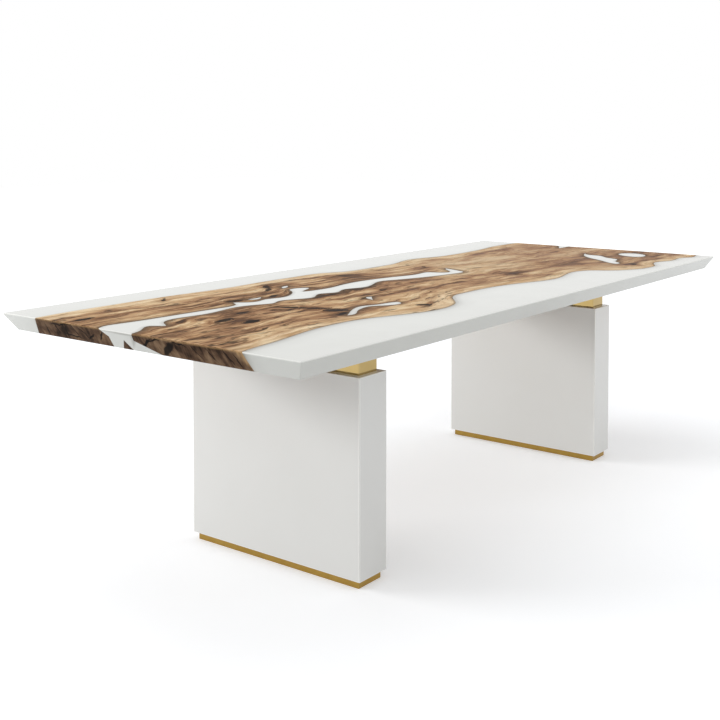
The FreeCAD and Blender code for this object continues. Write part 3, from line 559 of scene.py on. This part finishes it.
def endGrainMaterial(look):
    material, shader, add = newMaterial("sawn walnut end grain")
    place = add("TexCoord")["Object"]
    split = add("SeparateXYZ", {"Vector": place})
    edge = add("Attribute", attribute_name="edge")["Fac"]
    bank = add("Attribute", attribute_name="bank")["Fac"]
    nearest = add("Math", {0: edge, 1: bank}, operation="MINIMUM")["Value"]
    # everything on the sawn face is bent a little, by some 4 mm
    bend = add("TexNoise", {
        "Vector": place, "Scale": 1 / look["bendLength"], "Detail": 2.0})["Color"]
    bend = add("VectorMath", {0: bend, 1: (0.5, 0.5, 0.5)}, operation="SUBTRACT")["Vector"]
    bent = add("VectorMath", {
        0: bend, 1: look["bend"], 2: place}, operation="MULTIPLY_ADD")["Vector"]
    levels = []
    for lean, across, along, share in look["grains"]:
        scaled = add("Mapping", {
            "Vector": bent, "Rotation": (math.radians(lean), 0, 0),
            "Scale": (look["alongWood"], 1 / across, 1 / along)})["Vector"]
        grains = add("TexNoise", {"Vector": scaled, "Scale": 1.0, "Detail": 3.0})["Fac"]
        levels.append(add("Math", {
            0: grains, 1: share, 2: levels[-1] if levels else 0.0},
            operation="MULTIPLY_ADD")["Value"])
    colour = add("ValToRGB", {"Fac": levels[-1]}, stops=look["shades"])["Color"]
    # sapwood at the front edge only
    uneven = add("Math", {
        0: levels[0], 1: look["sapSway"], 2: edge}, operation="MULTIPLY_ADD")["Value"]
    front = add("Math", {0: split["Y"], 1: 0.0}, operation="LESS_THAN")["Value"]
    paler = add("MixRGB", {
        "Fac": look["sapStain"], "Color1": linear(look["sap"]), "Color2": colour})["Color"]
    colour = overlay(add, colour, paler, uneven, look["sapMark"], times=[front])
    # the dark line of bark at the joint, and a painted highlight: the top arris drawn paler in
    # sapwood colour
    colour = overlay(add, colour, linear(look["dark"]), nearest, look["barkMark"])
    colour = overlay(add, colour, linear(look["sap"]), split["Z"], look["highlightMark"])
    for y, z, half, width, lean in look["cracks"]:
        local = add("Mapping", {
            "Vector": bent, "Location": (-look["endAt"], y, z),
            "Rotation": (math.radians(lean), 0, 0),
            "Scale": (look["alongWood"], half, width)}, vector_type="TEXTURE")["Vector"]
        inside = add("TexGradient", {"Vector": local}, gradient_type="SPHERICAL")["Fac"]
        colour = overlay(add, colour, linear(look["crack"]), inside, look["crackMark"])
    dent = add("Bump", {"Height": levels[1], "Strength": 0.15, "Distance": 1 * mm})["Normal"]
    feed(shader, {"Base Color": colour, "Normal": dent, "Roughness": look["roughness"],
                  "Specular IOR Level": look["specular"]})
    return material


# opaque white casting resin, sanded and polished: faint clouds, a soft grey shade where it thins
# over the bark, and a painted highlight along the top arris
resinLook = {
    "clear": "DEDFDA", "cloud": "D7D8D3", "cloudSize": 120 * mm, "shade": "6E6858",
    # line it lies along, reach, strength
    "shades": [("edge", 15 * mm, 0.60), ("edge", 34 * mm, 0.42), ("edge", 80 * mm, 0.14),
               ("bank", 15 * mm, 0.50)],
    "shadeSway": 12 * mm,      # the clouds shift its border by this
    "backShares": (0.15, 0.65),   # how much of an edge's shade is left at the back
    # painted highlight along the top arris: colour, width, and the levels where it starts and is
    # full
    "paintedHighlight": "F2F2EE", "highlightWidth": 6 * mm,
    "highlightLevels": (topLevel - 3.2 * mm, topLevel - 1.6 * mm),
    "roughness": (0.12, 0.16), "specular": 0.25,
}


def resinMaterial(look):
    material, shader, add = newMaterial("polished white resin")
    place = add("TexCoord")["Object"]
    split = add("SeparateXYZ", {"Vector": place})
    clouds = add("TexNoise", {
        "Vector": place, "Scale": 1 / look["cloudSize"], "Detail": 2.0})["Fac"]
    colour = add("MixRGB", {
        "Fac": clouds, "Color1": linear(look["cloud"]), "Color2": linear(look["clear"])})["Color"]
    side = towardsBack(add, split, 1.0, *look["backShares"])
    sway = look["shadeSway"]
    for name, reach, most in look["shades"]:
        far = add("Attribute", attribute_name=name)["Fac"]
        uneven = add("Math", {0: clouds, 1: -sway, 2: far}, operation="MULTIPLY_ADD")["Value"]
        colour = overlay(add, colour, linear(look["shade"]), uneven,
                         (reach - sway / 2, -sway / 2, most),
                         times=[side] if name == "edge" else [], interpolation_type="SMOOTHSTEP")
    # painted highlight: a whiter band along the arris round the top, standing in for its shine
    inward = 1.0
    for axis, half in zip("XY", cadBox[1]):
        off = add("Math", {0: split[axis]}, operation="ABSOLUTE")["Value"]
        off = add("Math", {0: half, 1: off}, operation="SUBTRACT")["Value"]
        inward = add("Math", {0: inward, 1: off}, operation="MINIMUM")["Value"]
    upper = add("MapRange", {
        "Value": split["Z"], "From Min": look["highlightLevels"][0],
        "From Max": look["highlightLevels"][1]})["Result"]
    colour = overlay(add, colour, linear(look["paintedHighlight"]), inward, (look["highlightWidth"], 0.0, 1.0),
                     times=[upper])
    polish = add("MapRange", {
        "Value": clouds, "From Min": noiseLow, "From Max": noiseHigh,
        "To Min": look["roughness"][0], "To Max": look["roughness"][1]})["Result"]
    feed(shader, {"Base Color": colour, "Roughness": polish,
                  "Specular IOR Level": look["specular"]})
    return material


# white lacquer on board, sprayed and polished: even and glossy, with a slight orange peel and a
# painted highlight along the arrises
lacquerLook = {
    "light": "EDEDEB", "dark": "E8E8E5", "cloudSize": 250 * mm, "peel": 3 * mm,
    # painted highlight along the arrises: colour, width, and where it is full
    "paintedHighlight": "FAFAF7", "highlightWidth": 4 * mm, "highlightFull": 1 * mm,
    "highlightMark": (1.1, 1.6, 1.0),   # at an arris two faces of the box are near at once
    "roughness": (0.06, 0.10),
}


def lacquerMaterial(look):
    material, shader, add = newMaterial("polished white lacquer")
    place = add("TexCoord")["Object"]
    split = add("SeparateXYZ", {"Vector": place})
    clouds = add("TexNoise", {
        "Vector": place, "Scale": 1 / look["cloudSize"], "Detail": 3.0})["Fac"]
    colour = add("MixRGB", {
        "Fac": clouds, "Color1": linear(look["dark"]), "Color2": linear(look["light"])})["Color"]
    # painted highlight: arrises drawn whiter, on both boxes alike
    low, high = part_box("right_cap_panel")
    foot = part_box("right_front_end_panel")[0].z
    faces = 0.0
    for axis, start, end in (("X", low.x, high.x), ("Y", low.y, high.y), ("Z", foot, high.z)):
        half = (end - start) / 2
        off = add("Math", {0: split[axis]}, operation="ABSOLUTE")["Value"]
        off = add("Math", {0: off, 1: (start + end) / 2}, operation="SUBTRACT")["Value"]
        off = add("Math", {0: off}, operation="ABSOLUTE")["Value"]
        near = add("MapRange", {
            "Value": off, "From Min": half - look["highlightWidth"],
            "From Max": half - look["highlightFull"]})["Result"]
        faces = add("Math", {0: near, 1: faces}, operation="ADD")["Value"]
    colour = overlay(add, colour, linear(look["paintedHighlight"]), faces, look["highlightMark"])
    peel = add("TexNoise", {"Vector": place, "Scale": 1 / look["peel"], "Detail": 1.0})["Fac"]
    polish = add("MapRange", {
        "Value": clouds, "From Min": noiseLow, "From Max": noiseHigh,
        "To Min": look["roughness"][0], "To Max": look["roughness"][1]})["Result"]
    dent = add("Bump", {"Height": peel, "Strength": 0.03, "Distance": 0.3 * mm})["Normal"]
    feed(shader, {"Base Color": colour, "Roughness": polish, "Normal": dent})
    return material


# rolled and brushed metals: the polished brass mirrors the room, the satin brass blurs it, turned
# brass and zinc only glint. Colour, second colour, least and most roughness, sizes of the brushing
metalLooks = {
    "polished_brass": ("mirror polished brass", "B49D6A", "A88F5A", 0.03, 0.06, (0.4, 0.4, 0.0015)),
    "satin_brass": ("satin brushed brass", "B5954F", "A68440", 0.28, 0.38, (0.25, 0.25, 0.0012)),
    "insert_brass": ("turned brass", "C2A15E", "A98746", 0.28, 0.40, (0.002, 0.002, 0.0006)),
    "zinc_plated_steel": ("zinc plated steel", "B9BCBE", "A4A8AC", 0.30, 0.42,
                          (0.004, 0.004, 0.004)),
}
tarnishSize = 50 * mm


def metalMaterial(slot):
    title, first, second, smooth, rough, lines = metalLooks[slot]
    material, shader, add = newMaterial(title)
    place = add("TexCoord")["Object"]
    scaled = add("Mapping", {"Vector": place, "Scale": [1 / size for size in lines]})["Vector"]
    brushed = add("TexNoise", {"Vector": scaled, "Scale": 1.0, "Detail": 3.0})["Fac"]
    clouds = add("TexNoise", {"Vector": place, "Scale": 1 / tarnishSize, "Detail": 3.0})["Fac"]
    colour = add("MixRGB", {
        "Fac": clouds, "Color1": linear(second), "Color2": linear(first)})["Color"]
    finish = add("MapRange", {
        "Value": brushed, "From Min": noiseLow, "From Max": noiseHigh,
        "To Min": smooth, "To Max": rough})["Result"]
    feed(shader, {"Base Color": colour, "Roughness": finish, "Metallic": 1.0})
    return material


# dull surfaces out of sight, coated, moulded or bare: colour, second colour, roughness, grain
# size, bump
plainLooks = {
    "black_steel": ("black powder coated steel", "1E1F20", "27282A", 0.50, 1.2 * mm, 0.12),
    "bare_board": ("bare fibreboard", "A98C66", "8F7450", 0.80, 1.5 * mm, 0.10),
    "foot_plastic": ("moulded black plastic", "18191A", "222324", 0.45, 0.8 * mm, 0.08),
}


def plainMaterial(slot):
    title, first, second, rough, grainSize, relief = plainLooks[slot]
    material, shader, add = newMaterial(title)
    place = add("TexCoord")["Object"]
    grains = add("TexNoise", {"Vector": place, "Scale": 1 / grainSize, "Detail": 3.0})["Fac"]
    colour = add("MixRGB", {
        "Fac": grains, "Color1": linear(first), "Color2": linear(second)})["Color"]
    dent = add("Bump", {"Height": grains, "Strength": relief, "Distance": 0.3 * mm})["Normal"]
    feed(shader, {"Base Color": colour, "Normal": dent, "Roughness": rough})
    return material


finishes = {
    "white_lacquer": lacquerMaterial(lacquerLook), "white_resin": resinMaterial(resinLook)}
finishes.update({slot: metalMaterial(slot) for slot in metalLooks})
finishes.update({slot: plainMaterial(slot) for slot in plainLooks})
walnut, endGrain = walnutMaterial(walnutLook), endGrainMaterial(endLook)
for name, piece in cast.items():
    if "walnut" in name:
        piece.data.materials.append(walnut)
        piece.data.materials.append(endGrain)
        for face in piece.data.polygons:
            atEnd = abs(abs(face.center.x) - endLook["endAt"]) < endLook["endReach"]
            face.material_index = int(atEnd and abs(face.normal.x) > endLook["endNormal"])
    else:
        piece.data.materials.append(finishes["white_resin"])
print("finishes made:", len(bpy.data.materials))

# the pedestals, the ironwork and the feet keep their solids and get their finish by name
nodeFinishes = {
    "floor_panel": "bare_board", "panel": "white_lacquer", "plinth": "satin_brass",
    "neck_sleeve": "polished_brass", "screws": "zinc_plated_steel", "stud": "zinc_plated_steel",
    "inserts": "insert_brass", "pad": "foot_plastic", "post": "black_steel",
    "plate": "black_steel", "stiffener": "black_steel",
}
for name, node in nodes.items():
    ending = next((e for e in nodeFinishes if name.endswith(e)), None)
    if ending:
        for place in node.material_slots:
            place.material = finishes[nodeFinishes[ending]]
print("solids finished:", len(nodes) - len(cast))


# studio: a white sweep, a wide softbox behind on the left, a soft light overhead and a weak fill
# on the right
studio = {
    "floorSize": 40.0, "floorDrop": 0.4 * mm,
    # what the floor throws back, what is seen of it, and how it brightens away from the table
    "floorBounce": "DEDFE0", "floorColours": ("F2F4F7", "F6F8FB"), "patchSize": 0.4,
    "floorGlow": 0.26, "farGlow": 0.70, "glowReach": (2.5, 9.0),
    "floorRoughness": 0.9, "ambient": 0.68,
    # name, place, what it points at, width and height, watts
    "lights": [
        ("back left softbox", (-3.5, 5.6, 2.3), (0.0, 0.0, 0.35), (4.0, 1.1), 258),
        ("overhead softbox", (0.2, 0.0, 4.2), (0.0, 0.0, 0.7), (4.0, 4.0), 29),
        ("right fill", (3.2, -3.8, 0.9), (0.7, 0.0, 0.35), (2.0, 2.0), 28),
    ],
    "camera": (-3.18483, -2.13152, 1.26915), "yaw": 37.2461, "pitch": -2.1959,
    "lens": 54.4413, "sensor": 36, "shift": -0.255,
}


def seenRays(add):
    # 1 for what the camera sees, straight or in a reflection, and 0 for light on its way
    path = add("LightPath")
    seen = path["Is Camera Ray"]
    for ray in ("Is Glossy Ray", "Is Transmission Ray"):
        seen = add("Math", {0: seen, 1: path[ray]}, operation="MAXIMUM")["Value"]
    return seen


bpy.ops.object.select_all(action="DESELECT")
bpy.ops.mesh.primitive_plane_add(size=studio["floorSize"], location=(0, 0, -studio["floorDrop"]))
floor = bpy.context.object
floor.name = "studio_floor"
bpy.ops.object.transform_apply(location=True, rotation=True, scale=True)
paper, paperShader, add = newMaterial("white studio paper")
seen = seenRays(add)
paperPlace = add("TexCoord")["Object"]
away = add("VectorMath", {0: paperPlace}, operation="LENGTH")["Value"]
glow = add("MapRange", {
    "Value": away, "From Min": studio["glowReach"][0], "From Max": studio["glowReach"][1],
    "To Min": studio["floorGlow"], "To Max": studio["farGlow"]},
    interpolation_type="SMOOTHSTEP")["Result"]
glow = add("Math", {0: seen, 1: glow}, operation="MULTIPLY")["Value"]
patches = add("TexNoise", {
    "Vector": paperPlace, "Scale": 1 / studio["patchSize"], "Detail": 2.0})["Fac"]
first, second = [linear(shade) for shade in studio["floorColours"]]
paperColour = add("MixRGB", {"Fac": patches, "Color1": first, "Color2": second})["Color"]
paperColour = add("MixRGB", {
    "Fac": seen, "Color1": linear(studio["floorBounce"]), "Color2": paperColour})["Color"]
feed(paperShader, {
    "Base Color": paperColour, "Emission Strength": glow, "Emission Color": (1, 1, 1, 1),
    "Roughness": studio["floorRoughness"], "Specular IOR Level": 0.0})
floor.data.materials.append(paper)

sky = bpy.data.worlds.new("white studio")
sky.use_nodes = True
bpy.context.scene.world = sky
add = partial(addNode, sky)
level = add("MapRange", {
    "Value": seenRays(add), "To Min": studio["ambient"], "To Max": 1.0})["Result"]
feed(sky.node_tree.nodes["Background"], {"Strength": level, "Color": (1, 1, 1, 1)})

for title, place, target, size, power in studio["lights"]:
    lamp = bpy.data.lights.new(title, "AREA")
    lamp.energy = power
    lamp.shape = "RECTANGLE"
    lamp.size, lamp.size_y = size
    lampObject = bpy.data.objects.new(title, lamp)
    bpy.context.scene.collection.objects.link(lampObject)
    lampObject.location = place
    lampObject.visible_glossy = False   # or the resin burns out where it mirrors a lamp
    aim = Vector(target) - Vector(place)
    lampObject.rotation_euler = aim.to_track_quat("-Z", "Y").to_euler()

view = bpy.data.cameras.new("photo view")
view.sensor_width = studio["sensor"]
view.lens = studio["lens"]
view.shift_y = studio["shift"]
viewObject = bpy.data.objects.new("photo view", view)
bpy.context.scene.collection.objects.link(viewObject)
viewObject.location = studio["camera"]
viewObject.rotation_euler = (
    math.radians(90 + studio["pitch"]), 0, math.radians(studio["yaw"] - 90))
bpy.context.scene.camera = viewObject
bpy.context.scene.view_settings.view_transform = "Standard"
print("studio set")
